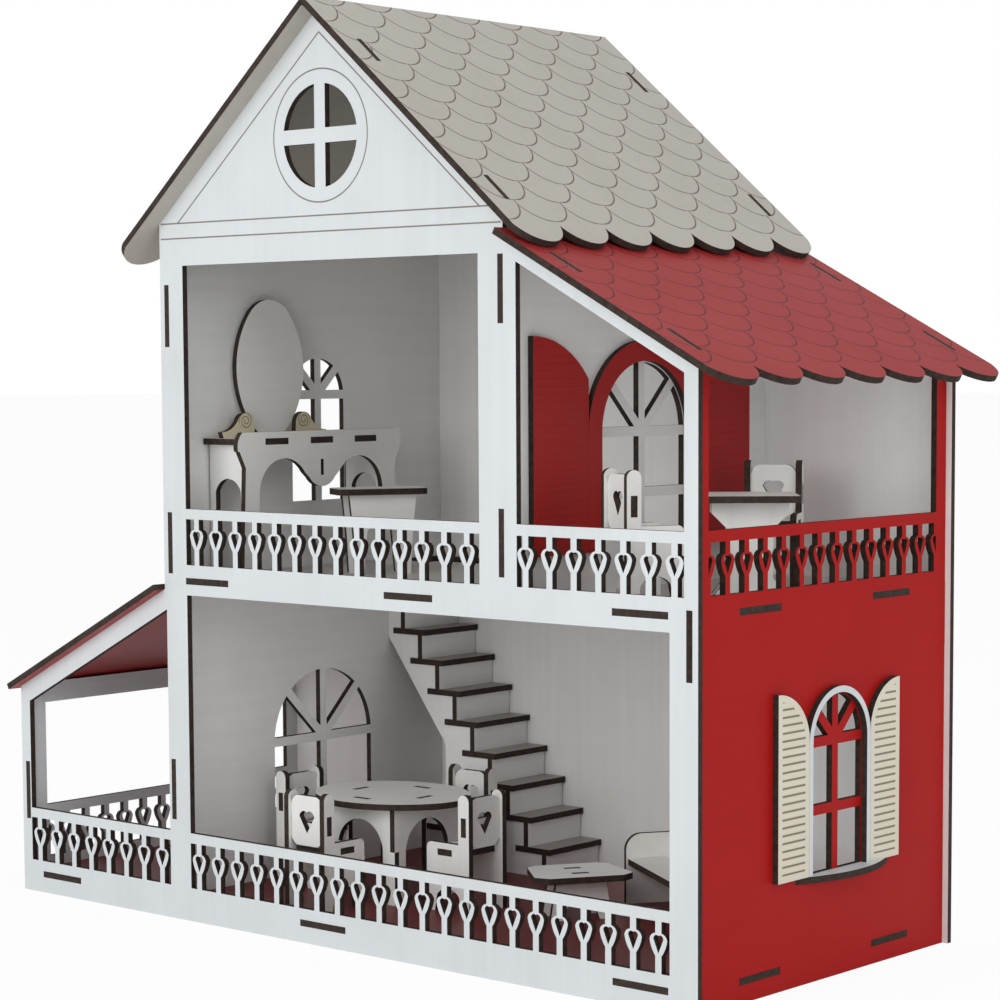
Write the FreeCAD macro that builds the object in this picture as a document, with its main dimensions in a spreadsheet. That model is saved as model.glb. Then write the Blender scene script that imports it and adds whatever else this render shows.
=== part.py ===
import FreeCAD, Part
import math
import os
import Sketcher

# Wooden dollhouse, cut from 3 mm board and slotted together with tabs, with its loose furniture.
# All lengths are in millimetres. Inside this file a place is counted from the front right corner:
# x runs left (negative) along the front, y runs back from the front face, z runs up from the
# underside of the ground floor board. The last step shifts the whole house so that the origin is
# under the middle of its outer box, on the surface it stands on.

Vector = FreeCAD.Vector
doc = FreeCAD.newDocument("Dollhouse")
sheet = doc.addObject("Spreadsheet::Sheet", "Sizes")

DRIVING = {
    # board and joints
    "board": 3, "kerf": 0.1, "tab": 29.6, "tab_margin": 15.5, "side_tab_margin": 30,
    "wall_inset": 3, "skirt": 8, "rest_gap": 0.3,
    # the house
    "main_width": 325, "tower_width": 220, "veranda_width": 112.4, "inner_depth": 189.5,
    "storey": 157.2,
    # roofs
    "ridge_height": 424, "main_pitch": 40.4, "lean_height": 264.3, "lean_pitch": 27.7,
    "veranda_height": 98, "veranda_pitch": 26.5, "overhang": 10.5, "veranda_overhang": 6,
    "main_eave": 17, "lean_eave": 12.4, "veranda_eave": 3, "lean_gap": 3.2,
    "scallops": 7, "scallop_drop": 11.5, "roof_tab": 16.5, "roof_tab_inset": 28.5,
    "lean_tab": 19, "lean_tab_low": 1.5, "lean_tab_high": 72.5,
    # openings in the front
    "tower_post_left": 16, "tower_post_right": 14.4, "terrace_post": 7.2, "ground_post": 14.7,
    "veranda_post": 6.9, "veranda_inner_post": 1.3, "bedroom_lintel": 310.2, "ground_lintel": 151.8,
    "lean_band": 9.5, "veranda_band": 10.5,
    # rails and their turned-looking balusters
    "rail": 4.9, "rail_gap": 22.2, "ground_rail_foot": 8.3, "upper_rail_foot": 9.3,
    "baluster_pitch": 13.45, "stem": 1.65, "bulb": 4.65, "bulb_low": 7.5, "bulb_wide": 14.2,
    "bulb_high": 17.2, "bulb_low_arc": 14, "bulb_high_arc": 3.4, "heart_low": 8.6, "heart_width": 2.6,
    "heart_height": 7.4, "rail_bite": 0.4,
    # windows
    "round_radius": 23.6, "round_rise": 366.4, "round_bar": 6.8, "window_bar": 4.5,
    "door_window_y": 102, "door_window_radius": 35, "door_window_spring": 71.6,
    "door_window_sill": 38, "bed_window_y": 100.4, "bed_window_radius": 18.5,
    "bed_window_spring": 247.5, "bed_window_sill": 193.4, "terrace_window_y": 96,
    "terrace_window_radius": 31.5, "terrace_window_spring": 231.5, "terrace_window_sill": 178,
    "terrace_trim": 10, "terrace_shutter": 38, "terrace_shutter_top": 274.5,
    "side_window_y": 103.5, "side_window_radius": 20.3, "side_window_spring": 97.6,
    "side_window_sill": 40, "side_trim": 3.4, "side_shutter": 23, "side_shutter_top": 121.4,
    "shutter_drop": 19, "sill_length": 72, "sill_reach": 9, "side_post": 8, "side_opening_top": 257,
    # stairs
    "stair_front": 150.5, "stair_width": 41.5, "stair_foot": 207.5, "stair_run": 12.1,
    "stair_first": 14.8, "stair_rise": 15.2, "stair_tread": 22.7, "stair_nose": 2,
    "stair_count": 9, "stair_leg": 278.9, "stair_leg_top": 65.4, "stair_slope": 1.338,
    # loose furniture
    "chair_width": 27, "chair_depth": 27, "chair_height": 57, "chair_seat": 27, "chair_post": 6.8,
    "table_box": 46, "table_height": 50, "table_long": 42, "table_short": 35,
    "dresser_length": 114, "dresser_depth": 28.8, "dresser_height": 70, "dresser_board": 66.8,
    "mirror_half": 23, "mirror_rise": 34, "stool_long": 46, "stool_wide": 24, "stool_height": 42,
    "coffee_height": 22, "sofa_length": 75, "sofa_depth": 35, "sofa_seat": 19, "sofa_arm": 34,
    "corner_table": 42, "corner_table_height": 44.5,
}

FUNCTIONS = {"sin": math.sin, "cos": math.cos, "tan": math.tan}


class Size:
    """A number together with the spreadsheet formula that gives it."""

    def __init__(self, value, text):
        self.value = value
        self.text = text

    def join(self, other, sign, value):
        return Size(value, "(" + self.text + " " + sign + " " + as_size(other).text + ")")

    def __add__(self, other):
        return self.join(other, "+", self.value + as_size(other).value)

    def __sub__(self, other):
        return self.join(other, "-", self.value - as_size(other).value)

    def __mul__(self, other):
        return self.join(other, "*", self.value * as_size(other).value)

    def __truediv__(self, other):
        return self.join(other, "/", self.value / as_size(other).value)

    def __radd__(self, other):
        return as_size(other) + self

    def __rsub__(self, other):
        return as_size(other) - self

    def __rmul__(self, other):
        return as_size(other) * self

    def __neg__(self):
        return as_size(0) - self


def as_size(number):
    return number if isinstance(number, Size) else Size(float(number), repr(float(number)))


def turn(name, angle):
    """sin, cos or tan of an angle given in degrees."""
    angle = as_size(angle)
    value = FUNCTIONS[name](math.radians(angle.value))
    return Size(value, name + "(" + angle.text + " * 1 deg)")


def root(size):
    return Size(math.sqrt(size.value), "sqrt(" + size.text + ")")


def larger(first, second):
    return Size(max(first.value, second.value), "max(" + first.text + "; " + second.text + ")")


def whole(size):
    return Size(math.floor(size.value), "floor(" + size.text + ")")


for row, (alias, value) in enumerate(DRIVING.items(), start=1):
    sheet.set("A" + str(row), alias)
    sheet.set("B" + str(row), str(value))
    sheet.setAlias("B" + str(row), alias)
doc.recompute()


def cell(alias):
    return Size(float(DRIVING[alias]), "Sizes." + alias)


# ---------------------------------------------------------------- outlines


def rect(left, low, right, high):
    return [(left, low), (right, low), (right, high), (left, high)]


def slot(left, low, right, high):
    """A slot for a tab of this size, a kerf wider all round."""
    gap = cell("kerf")
    return rect(left - gap, low - gap, right + gap, high + gap)


def tabs_along(start, along, out, spans, depth):
    """Square tabs on a straight edge: along and out are unit directions, spans are distances."""
    points = []
    for near, far in spans:
        for reach, lift in ((near, 0), (near, depth), (far, depth), (far, 0)):
            points.append((start[0] + along[0] * reach + out[0] * lift,
                           start[1] + along[1] * reach + out[1] * lift))
    return points


def heart(middle, low, half, high):
    """A heart hole: its tip at (middle, low), half its width, and its height to the cleft."""
    shoulder = low + high * 0.8
    lobe = half * 0.62
    return [(middle, low), (middle + half, shoulder, lobe, 1), (middle, low + high, lobe, 1),
            (middle - half, shoulder)]


def oval(x, y, half, tall, tip, upright):
    """Four arcs that meet smoothly: the long half, the short half and the radius of the tips."""
    side = ((half - tip) * (half - tip) + tall * tall - tip * tip) / ((tall - tip) * 2)
    along = (half - tip) * side / (side - tip)
    beside = tip * (side - tall) / (side - tip)
    if upright:
        return [(x + beside, y - along, side, 1), (x + beside, y + along, tip, 1),
                (x - beside, y + along, side, 1), (x - beside, y - along, tip, 1)]
    return [(x + along, y - beside, tip, 1), (x + along, y + beside, side, 1),
            (x - along, y + beside, tip, 1), (x - along, y - beside, side, 1)]


def pie_panes(middle, spring, radius, bar, angles):
    """Panes of a fan light, between bars that run from the hub at these angles."""
    panes = []
    half = bar / 2
    for low, high in zip(angles, angles[1:]):
        tip = half / turn("sin", (high - low) / 2)
        mean = (low + high) / 2
        reach = root(radius * radius - half * half)
        first = (middle + reach * turn("cos", low) - half * turn("sin", low),
                 spring + reach * turn("sin", low) + half * turn("cos", low), radius, 1)
        last = (middle + reach * turn("cos", high) + half * turn("sin", high),
                spring + reach * turn("sin", high) - half * turn("cos", high))
        panes.append([(middle + tip * turn("cos", mean), spring + tip * turn("sin", mean)),
                      first, last])
    return panes


def arched_window(middle, spring, radius, sill, bar, rows):
    """Panes of an arched window: a fan light over rows of two upright panes."""
    panes = pie_panes(middle, spring, radius, bar, (0, 45, 90, 135, 180))
    top = spring - bar / 2
    step = (top - sill + bar) / rows
    for row in range(rows):
        high = top - step * row
        low = high - step + bar
        panes.append(rect(middle - radius, low, middle - bar / 2, high))
        panes.append(rect(middle + bar / 2, low, middle + radius, high))
    return panes


def edge_geometry(start, end):
    """The line, or the arc of a given radius, from one outline point to the next."""
    near = Vector(as_size(start[0]).value, as_size(start[1]).value, 0)
    far = Vector(as_size(end[0]).value, as_size(end[1]).value, 0)
    if len(start) == 2:
        return Part.LineSegment(near, far), 1, 2
    radius = as_size(start[2]).value
    side = start[3]
    chord = far - near
    sag = math.sqrt(max(radius ** 2 - (chord.Length / 2) ** 2, 0))
    left = Vector(-chord.y, chord.x, 0).normalize()
    centre = near + chord / 2 + left * sag * side
    a_near = math.atan2(near.y - centre.y, near.x - centre.x)
    a_far = math.atan2(far.y - centre.y, far.x - centre.x)
    circle = Part.Circle(centre, Vector(0, 0, 1), radius)
    if side > 0:
        return Part.ArcOfCircle(circle, a_near, a_far), 1, 2
    return Part.ArcOfCircle(circle, a_far, a_near), 2, 1


def draw(body, name, role, level, loops):
    """A sketch of closed loops on one of the body's planes, every corner bound to the sheet."""
    sketch = body.newObject("Sketcher::SketchObject", name)
    plane = [item for item in body.Origin.OriginFeatures if item.Role == role][0]
    sketch.AttachmentSupport = [(plane, "")]
    sketch.MapMode = "FlatFace"
    level = as_size(level)
    if role == "XZ_Plane":
        level = -level
    sketch.setExpression("AttachmentOffset.Base.z", level.text)
    geometry = []
    constraints = []
    bindings = []
    for loop in loops:
        first = len(geometry)
        ends = []
        for index, start in enumerate(loop):
            item, near, far = edge_geometry(start, loop[(index + 1) % len(loop)])
            geometry.append(item)
            ends.append((near, far))
        for index, start in enumerate(loop):
            after = (index + 1) % len(loop)
            constraints.append(Sketcher.Constraint("Coincident", first + index, ends[index][1],
                                                   first + after, ends[after][0]))
            for kind, size in (("DistanceX", start[0]), ("DistanceY", start[1])):
                size = as_size(size)
                bindings.append((len(constraints), size.text))
                constraints.append(Sketcher.Constraint(kind, -1, 1, first + index, ends[index][0],
                                                       size.value))
            if len(start) > 2:
                size = as_size(start[2])
                bindings.append((len(constraints), size.text))
                constraints.append(Sketcher.Constraint("Radius", first + index, size.value))
    sketch.addGeometry(geometry, False)
    sketch.addConstraint(constraints)
    for index, text in bindings:
        sketch.setExpression("Constraints[" + str(index) + "]", text)
    return sketch


def pad(body, sketch, role, thick):
    feature = body.newObject("PartDesign::Pad", "Pad")
    feature.Profile = sketch
    feature.setExpression("Length", as_size(thick).text)
    feature.Reversed = role == "XZ_Plane"
    sketch.Visibility = False
    return feature


nodes = []
PLANES = {"front": "XZ_Plane", "side": "YZ_Plane", "flat": "XY_Plane"}


def cut_sheet(label, way, level, loops, thick=None, node=True):
    """One piece of board: its outline and holes, standing (front, side) or lying (flat)."""
    body = doc.addObject("PartDesign::Body", label)
    body.Label = label
    role = PLANES[way]
    sketch = draw(body, "Outline", role, level, loops)
    pad(body, sketch, role, thick if thick else cell("board"))
    if node:
        nodes.append(body)
    return body


def baluster(middle, foot):
    """Outline and heart hole of one baluster, biting a little into the rails it joins."""
    stem = cell("stem")
    low = foot - cell("rail_bite")
    high = foot + cell("rail_gap") + cell("rail_bite")
    outer = [(middle - stem, low), (middle + stem, low),
             (middle + stem, foot + cell("bulb_low"), cell("bulb_low_arc"), 1),
             (middle + cell("bulb"), foot + cell("bulb_wide"), cell("bulb_high_arc"), 1),
             (middle + stem, foot + cell("bulb_high")), (middle + stem, high),
             (middle - stem, high), (middle - stem, foot + cell("bulb_high"), cell("bulb_high_arc"), 1),
             (middle - cell("bulb"), foot + cell("bulb_wide"), cell("bulb_low_arc"), 1),
             (middle - stem, foot + cell("bulb_low"))]
    return [outer, heart(middle, foot + cell("heart_low"), cell("heart_width"), cell("heart_height"))]


def fill_rail(body, way, level, start, end, foot, on_posts):
    """A row of balusters between two posts; on_posts puts a half one against each post."""
    span = end - start
    pitch = cell("baluster_pitch")
    if on_posts:
        count = whole(span / pitch + 0.5) + 1
        first = start
        length = span
    else:
        count = whole((span + 4) / pitch)
        length = pitch * (count - 1)
        first = start + (span - length) / 2
    role = PLANES[way]
    sketch = draw(body, "Baluster", role, level, baluster(first, foot))
    feature = pad(body, sketch, role, cell("board"))
    row = body.newObject("PartDesign::LinearPattern", "Row")
    row.Originals = [feature]
    row.Direction = (sketch, ["H_Axis"])
    row.setExpression("Length", length.text)
    row.Occurrences = int(count.value)
    row.setExpression("Occurrences", count.text)
    body.Tip = row


# ---------------------------------------------------------------- places that many pieces share

board = cell("board")
tower_left = -cell("main_width")
tower_right = cell("tower_width") - cell("main_width")
tower_middle = (tower_left + tower_right) / 2
veranda_left = tower_left - cell("veranda_width")
back_face = board + cell("inner_depth")
total_depth = back_face + board
upper = cell("storey")
upper_top = upper + board
left_wall_x = tower_left + cell("wall_inset")
right_wall_x = -cell("wall_inset") - board
partition_x = tower_right - board
veranda_wall_x = veranda_left + cell("wall_inset")
side_tabs = [(board + cell("side_tab_margin"), board + cell("side_tab_margin") + cell("tab")),
             (back_face - cell("side_tab_margin") - cell("tab"), back_face - cell("side_tab_margin"))]


def main_under(x_from_ridge):
    """Height of the main roof's underside at a distance from the ridge."""
    return cell("ridge_height") - turn("tan", cell("main_pitch")) * x_from_ridge


def lean_under(x):
    return cell("lean_height") - turn("tan", cell("lean_pitch")) * x


def veranda_under(x):
    return cell("veranda_height") + turn("tan", cell("veranda_pitch")) * (x - veranda_left)


def spread_tabs(left, right):
    """Three floor tabs along a span: one near each end and one in the middle."""
    tab = cell("tab")
    middle = (left + right) / 2
    return [(left + cell("tab_margin"), left + cell("tab_margin") + tab),
            (middle - tab / 2, middle + tab / 2),
            (right - cell("tab_margin") - tab, right - cell("tab_margin"))]


ground_tabs = spread_tabs(veranda_left, as_size(0))
upper_tabs = spread_tabs(tower_left, as_size(0))
left_heights = [cell("tab") + 11.6, upper + 4.8, upper + 114.4]
partition_heights = [upper + 13.1, upper + 122.8]
right_heights = [upper - 25.4]
veranda_heights = [cell("tab")]

# the spans of the tabs that hold the roofs, measured down each slope
half_slope = cell("tower_width") / 2 / turn("cos", cell("main_pitch"))
main_spans = [(cell("roof_tab_inset"), cell("roof_tab_inset") + cell("roof_tab")),
              (half_slope - cell("roof_tab") - 0.5, half_slope - 0.5)]
lean_spans = [(cell("lean_tab_low"), cell("lean_tab_low") + cell("lean_tab")),
              (cell("lean_tab_high"), cell("lean_tab_high") + cell("lean_tab"))]


# ---------------------------------------------------------------- front and back panels


def panel_outline():
    """The outline that the front and the back share: veranda, gabled tower and terrace."""
    low = -cell("skirt")
    main = cell("main_pitch")
    lean = cell("lean_pitch")
    porch = cell("veranda_pitch")
    cos, sin = turn("cos", main), turn("sin", main)
    ridge = (tower_middle, cell("ridge_height"))
    right_corner = (as_size(0), cell("lean_height"))
    points = [(veranda_left, low), (as_size(0), low), right_corner]
    points += tabs_along(right_corner, (-turn("cos", lean), turn("sin", lean)),
                         (turn("sin", lean), turn("cos", lean)), lean_spans, board)
    points.append((tower_right, lean_under(tower_right)))
    eave = (tower_right, main_under(cell("tower_width") / 2))
    points.append(eave)
    climbing = [(half_slope - far, half_slope - near) for near, far in reversed(main_spans)]
    points += tabs_along(eave, (-cos, sin), (sin, cos), climbing, board)
    points.append(ridge)
    points += tabs_along(ridge, (-cos, -sin), (-sin, cos), main_spans, board)
    points.append((tower_left, main_under(cell("tower_width") / 2)))
    points.append((tower_left, veranda_under(tower_left)))
    porch_slope = cell("veranda_width") / turn("cos", porch)
    spans = [(porch_slope - far, porch_slope - near) for near, far in reversed(lean_spans)]
    points += tabs_along((tower_left, veranda_under(tower_left)),
                         (-turn("cos", porch), -turn("sin", porch)),
                         (-turn("sin", porch), turn("cos", porch)), spans, board)
    points.append((veranda_left, cell("veranda_height")))
    return points


def panel_slots():
    slots = [slot(near, as_size(0), far, board) for near, far in ground_tabs]
    slots += [slot(near, upper, far, upper_top) for near, far in upper_tabs]
    for x, heights in ((left_wall_x, left_heights), (partition_x, partition_heights),
                       (right_wall_x, right_heights), (veranda_wall_x, veranda_heights)):
        slots += [slot(x, low, x + board, low + cell("tab")) for low in heights]
    return slots


def cut_slots(body, level, loops):
    sketch = draw(body, "Slots", "XZ_Plane", level, loops)
    pocket = body.newObject("PartDesign::Pocket", "Slots_cut")
    pocket.Profile = sketch
    pocket.setExpression("Length", (board * 2).text)
    sketch.Visibility = False


tower_open = (tower_left + cell("tower_post_left"), tower_right - cell("tower_post_right"))
terrace_open = (tower_right + cell("terrace_post"), -cell("terrace_post"))
ground_open = (tower_open[0], -cell("ground_post"))
veranda_open = (veranda_left + cell("veranda_post"), tower_left + cell("veranda_inner_post"))
ground_foot = cell("ground_rail_foot")
upper_foot = upper + cell("upper_rail_foot")


def rail_top(foot):
    return foot + cell("rail_gap") + cell("rail")


def round_panes():
    """Four panes of the round gable window, between its crossed bars."""
    half = cell("round_bar") / 2
    radius = cell("round_radius")
    reach = root(radius * radius - half * half)
    x, z = tower_middle, cell("round_rise")
    return [[(x + half, z + half), (x + reach, z + half, radius, 1), (x + half, z + reach)],
            [(x - half, z + half), (x - half, z + reach, radius, 1), (x - reach, z + half)],
            [(x - half, z - half), (x - reach, z - half, radius, 1), (x - half, z - reach)],
            [(x + half, z - half), (x + half, z - reach, radius, 1), (x + reach, z - half)]]


def front_holes():
    holes = []
    for (left, right), foot in ((tower_open, upper_foot), (terrace_open, upper_foot),
                                (ground_open, ground_foot), (veranda_open, ground_foot)):
        holes.append(rect(left, foot, right, foot + cell("rail_gap")))
    left, right = tower_open
    holes.append(rect(left, rail_top(upper_foot), right, cell("bedroom_lintel")))
    left, right = ground_open
    holes.append(rect(left, rail_top(ground_foot), right, cell("ground_lintel")))
    left, right = terrace_open
    holes.append([(left, rail_top(upper_foot)), (right, rail_top(upper_foot)),
                  (right, lean_under(right) - cell("lean_band")),
                  (left, lean_under(left) - cell("lean_band"))])
    left, right = veranda_open
    holes.append([(left, rail_top(ground_foot)), (right, rail_top(ground_foot)),
                  (right, veranda_under(right) - cell("veranda_band")),
                  (left, veranda_under(left) - cell("veranda_band"))])
    return holes + round_panes()


front = cut_sheet("front_panel", "front", 0, [panel_outline()] + front_holes())
cut_slots(front, 0, panel_slots())
for (left, right), foot in ((tower_open, upper_foot), (terrace_open, upper_foot),
                            (ground_open, ground_foot), (veranda_open, ground_foot)):
    fill_rail(front, "front", 0, left, right, foot, False)

back = cut_sheet("back_panel", "front", back_face, [panel_outline()])
cut_slots(back, back_face, panel_slots())

# ---------------------------------------------------------------- walls


def upright_edges(bottom, top, heights, tab_gap=0):
    """The two upright edges of a side wall, with tabs that pass through front and back."""
    tab = cell("tab")
    spans = [(low - bottom, low - bottom + tab) for low in heights]
    flipped = [(top - far - bottom, top - near - bottom) for near, far in reversed(spans)]
    rear = tabs_along((back_face, bottom), (0, 1), (1, 0), spans, board)
    fore = tabs_along((board, top), (0, -1), (-1, 0), flipped, board)
    return rear, fore


def side_wall(label, x, bottom, top, heights, holes, foot_tabs):
    """A wall that runs from the front panel to the back one."""
    rear, fore = upright_edges(bottom, top, heights)
    outline = [(board, bottom)]
    if foot_tabs:
        outline += tabs_along((as_size(0), bottom), (1, 0), (0, -1), side_tabs, board)
    outline += [(back_face, bottom)] + rear + [(back_face, top), (board, top)] + fore
    return cut_sheet(label, "side", x, [outline] + holes)


def floor_slots_in_wall(levels):
    return [slot(near, level, far, level + board) for level in levels for near, far in side_tabs]


bar = cell("window_bar")
left_holes = arched_window(cell("door_window_y"), cell("door_window_spring"),
                           cell("door_window_radius"), cell("door_window_sill"), bar, 1)
left_holes += arched_window(cell("bed_window_y"), cell("bed_window_spring"),
                            cell("bed_window_radius"), cell("bed_window_sill"), bar, 2)
left_holes += floor_slots_in_wall([upper])
left_top = main_under(cell("tower_width") / 2 - cell("wall_inset"))
side_wall("left_wall", left_wall_x, board, left_top, left_heights, left_holes, True)

terrace_holes = arched_window(cell("terrace_window_y"), cell("terrace_window_spring"),
                              cell("terrace_window_radius"), cell("terrace_window_sill"), bar, 2)
side_wall("terrace_wall", partition_x, upper_top, main_under(cell("tower_width") / 2),
          partition_heights, terrace_holes, True)

right_top = lean_under(-cell("wall_inset"))
side_open = (board + cell("side_post"), back_face - cell("side_post"))
right_holes = arched_window(cell("side_window_y"), cell("side_window_spring"),
                            cell("side_window_radius"), cell("side_window_sill"), bar, 2)
right_holes += floor_slots_in_wall([as_size(0), upper])
right_holes.append(rect(side_open[0], upper_foot, side_open[1], upper_foot + cell("rail_gap")))
right_holes.append(rect(side_open[0], rail_top(upper_foot), side_open[1],
                        right_top - cell("lean_band")))
right = side_wall("right_wall", right_wall_x, -cell("skirt"), right_top, right_heights,
                  right_holes, False)
fill_rail(right, "side", right_wall_x, side_open[0], side_open[1], upper_foot, True)

porch_top = veranda_under(veranda_wall_x)
porch_open = (board + cell("side_post"), back_face - cell("side_post"))
porch_holes = floor_slots_in_wall([as_size(0)])
porch_holes.append(rect(porch_open[0], ground_foot, porch_open[1], ground_foot + cell("rail_gap")))
porch_holes.append(rect(porch_open[0], rail_top(ground_foot), porch_open[1],
                        porch_top - cell("veranda_band")))
porch = side_wall("veranda_side", veranda_wall_x, -cell("skirt"), porch_top, veranda_heights,
                  porch_holes, False)
fill_rail(porch, "side", veranda_wall_x, porch_open[0], porch_open[1], ground_foot, True)

# ---------------------------------------------------------------- floors


def floor_outline(left, right, tabs, left_tabs, right_tabs):
    """A floor board with tabs through the front, the back and the side walls."""
    spans = [(near - left, far - left) for near, far in tabs]
    outline = [(left, board)]
    outline += tabs_along((left, board), (1, 0), (0, -1), spans, board)
    outline.append((right, board))
    side = [(near - board, far - board) for near, far in side_tabs]
    if right_tabs:
        outline += tabs_along((right, board), (0, 1), (1, 0), side, board)
    outline.append((right, back_face))
    flipped = [(right - far, right - near) for near, far in reversed(tabs)]
    outline += tabs_along((right, back_face), (-1, 0), (0, 1), flipped, board)
    outline.append((left, back_face))
    if left_tabs:
        flipped = [(back_face - far, back_face - near) for near, far in reversed(side_tabs)]
        outline += tabs_along((left, back_face), (0, -1), (-1, 0), flipped, board)
    return outline


wall_slots = [slot(left_wall_x, near, left_wall_x + board, far) for near, far in side_tabs]
ground_floor = floor_outline(veranda_wall_x + board, right_wall_x, ground_tabs, True, True)
cut_sheet("ground_floor", "flat", 0, [ground_floor] + wall_slots)

stair_y = (cell("stair_front"), cell("stair_front") + cell("stair_width"))
partition_slots = [slot(partition_x, near, partition_x + board, far) for near, far in side_tabs]
first_nose = -cell("stair_foot")
stair_hole = rect(left_wall_x + board * 2, stair_y[0] - 1, first_nose - cell("stair_tread"),
                  back_face - board * 2)
first_floor = floor_outline(left_wall_x + board, right_wall_x, upper_tabs, True, True)
cut_sheet("first_floor", "flat", upper, [first_floor, stair_hole] + partition_slots)

# ---------------------------------------------------------------- roofs


def scalloped(start, end, spans, cuts):
    """A roof sheet lying flat: x runs down the slope to a scalloped eave, y from front to back."""
    front_edge = -cell("overhang")
    depth = total_depth + cell("overhang") * 2
    count = DRIVING["scallops"]
    step = depth / count
    half = step / 2
    drop = cell("scallop_drop")
    radius = (half * half + drop * drop) / (drop * 2)
    outline = [(start, front_edge)]
    for index in range(count):
        outline.append((end, front_edge + step * index, radius, 1))
    outline += [(end, front_edge + depth), (start, front_edge + depth)]
    slots = [slot(near, y, far, y + board) for near, far in spans for y in cuts]
    return [outline] + slots


def roof(label, loops, x, z, pitch, flip):
    """A roof sheet tilted about its high edge; flip sends it down to the left."""
    body = cut_sheet(label, "flat", 0, loops)
    angle = 180 if flip else 0
    body.Placement = FreeCAD.Placement(Vector(0, 0, 0), FreeCAD.Rotation(Vector(0, 1, 0), 10))
    seats[label] = (x, as_size(0), z)
    tilts[label] = (pitch, angle)
    return body


seats = {}
tilts = {}
cuts = (as_size(0), back_face)
main_length = half_slope + cell("main_eave")
butt = board / turn("tan", cell("main_pitch") * 2)
roof("main_roof_right", scalloped(-board, main_length, main_spans, cuts), tower_middle,
     cell("ridge_height"), cell("main_pitch"), False)


def mirrored(loops):
    """The same loops with x turned round, run the other way so that arcs keep their side."""
    result = []
    for loop in loops:
        turned = []
        count = len(loop)
        for index in range(count):
            point = loop[-index % count]
            before = loop[(-index - 1) % count]
            item = (-point[0], point[1])
            if len(before) > 2:
                item += (before[2], before[3])
            turned.append(item)
        result.append(turned)
    return result


roof("main_roof_left", mirrored(scalloped(butt, main_length, main_spans, cuts)), tower_middle,
     cell("ridge_height"), -cell("main_pitch"), False)

lean_length = -(tower_right + cell("lean_gap")) / turn("cos", cell("lean_pitch"))
lean_down = [(-far, -near) for near, far in lean_spans]
roof("lean_roof", scalloped(-lean_length, cell("lean_eave"), lean_down, cuts), as_size(0),
     cell("lean_height"), cell("lean_pitch"), False)

porch_slope = cell("veranda_width") / turn("cos", cell("veranda_pitch"))
porch_y = (-cell("veranda_overhang"), total_depth + cell("veranda_overhang"))
porch_sheet = [rect(-cell("veranda_eave"), porch_y[0], porch_slope - cell("rest_gap") * 2, porch_y[1])]
porch_sheet += [slot(near, y, far, y + board) for near, far in lean_spans for y in cuts]
roof("veranda_roof", porch_sheet, veranda_left, cell("veranda_height"), -cell("veranda_pitch"), False)

# ---------------------------------------------------------------- window trim, glued on flat


def arch_ring(middle, spring, inner, outer, low):
    """A flat arched frame, open at the bottom."""
    return [[(middle - outer, low), (middle - inner, low), (middle - inner, spring, inner, -1),
             (middle, spring + inner, inner, -1), (middle + inner, spring), (middle + inner, low),
             (middle + outer, low), (middle + outer, spring, outer, 1),
             (middle, spring + outer, outer, 1), (middle - outer, spring)]]


def shutter(hinge, width, low, high, side):
    """A shutter with a quarter-round top; side is +1 when the window lies towards +y of it."""
    drop = cell("shutter_drop")
    radius = (width * width + drop * drop) / (drop * 2)
    if side > 0:
        return [[(hinge, low), (hinge + width, low), (hinge + width, high - drop, radius, 1),
                 (hinge, high)]]
    return [[(hinge - width, low), (hinge, low), (hinge, high, radius, 1),
             (hinge - width, high - drop)]]


def trim_window(prefix, x, middle, spring, radius, trim, width, low, high):
    """The frame and the two shutters of one window, on the wall face at x."""
    outer = radius + trim
    inner = radius + board * 0.2
    cut_sheet(prefix + "_frame", "side", x, arch_ring(middle, spring, inner, outer, low))
    left = middle - outer - cell("kerf") - width
    right = middle + outer + cell("kerf") + width
    cut_sheet(prefix + "_shutter_left", "side", x, shutter(left, width, low, high, 1))
    cut_sheet(prefix + "_shutter_right", "side", x, shutter(right, width, low, high, -1))


trim_window("side_window", right_wall_x + board, cell("side_window_y"), cell("side_window_spring"),
            cell("side_window_radius"), cell("side_trim"), cell("side_shutter"),
            cell("side_window_sill"), cell("side_shutter_top"))
trim_window("terrace_window", partition_x + board, cell("terrace_window_y"),
            cell("terrace_window_spring"), cell("terrace_window_radius"), cell("terrace_trim"),
            cell("terrace_shutter"), cell("terrace_window_sill"), cell("terrace_shutter_top"))

sill_half = cell("sill_length") / 2
sill_low = cell("side_window_sill") - board
sill_x = right_wall_x + board
sill_y = cell("side_window_y") + 6
sill_arc = (sill_half * sill_half + cell("sill_reach") * cell("sill_reach")) / (cell("sill_reach") * 2)
cut_sheet("side_window_sill", "flat", sill_low,
          [[(sill_x, sill_y - sill_half, sill_arc, 1), (sill_x, sill_y + sill_half)]])

# ---------------------------------------------------------------- stairs


def nose(step):
    return first_nose - cell("stair_run") * (step - 1)


def tread_top(step):
    return board + cell("stair_first") + cell("stair_rise") * (step - 1)


def stringer_outline():
    """Stepped above, with a notch for each tread's back edge, and straight below."""
    set_back = cell("stair_nose") + board
    gap = cell("kerf")
    count = DRIVING["stair_count"]
    leg = -cell("stair_leg")
    points = [(leg, board), (nose(1) - set_back, board)]
    for step in range(1, count + 1):
        top = tread_top(step)
        points.append((nose(step) - set_back, top - board - gap))
        if step < count:
            rear = nose(step) - cell("stair_tread") - gap
            points += [(rear, top - board - gap), (rear, top + gap),
                       (nose(step + 1) - set_back, top + gap)]
    wall = left_wall_x + board + gap
    points.append((wall, tread_top(count) - board - gap))
    points.append((wall, cell("stair_leg_top") + (leg - wall) * cell("stair_slope")))
    points.append((leg, cell("stair_leg_top")))
    return points


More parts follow.
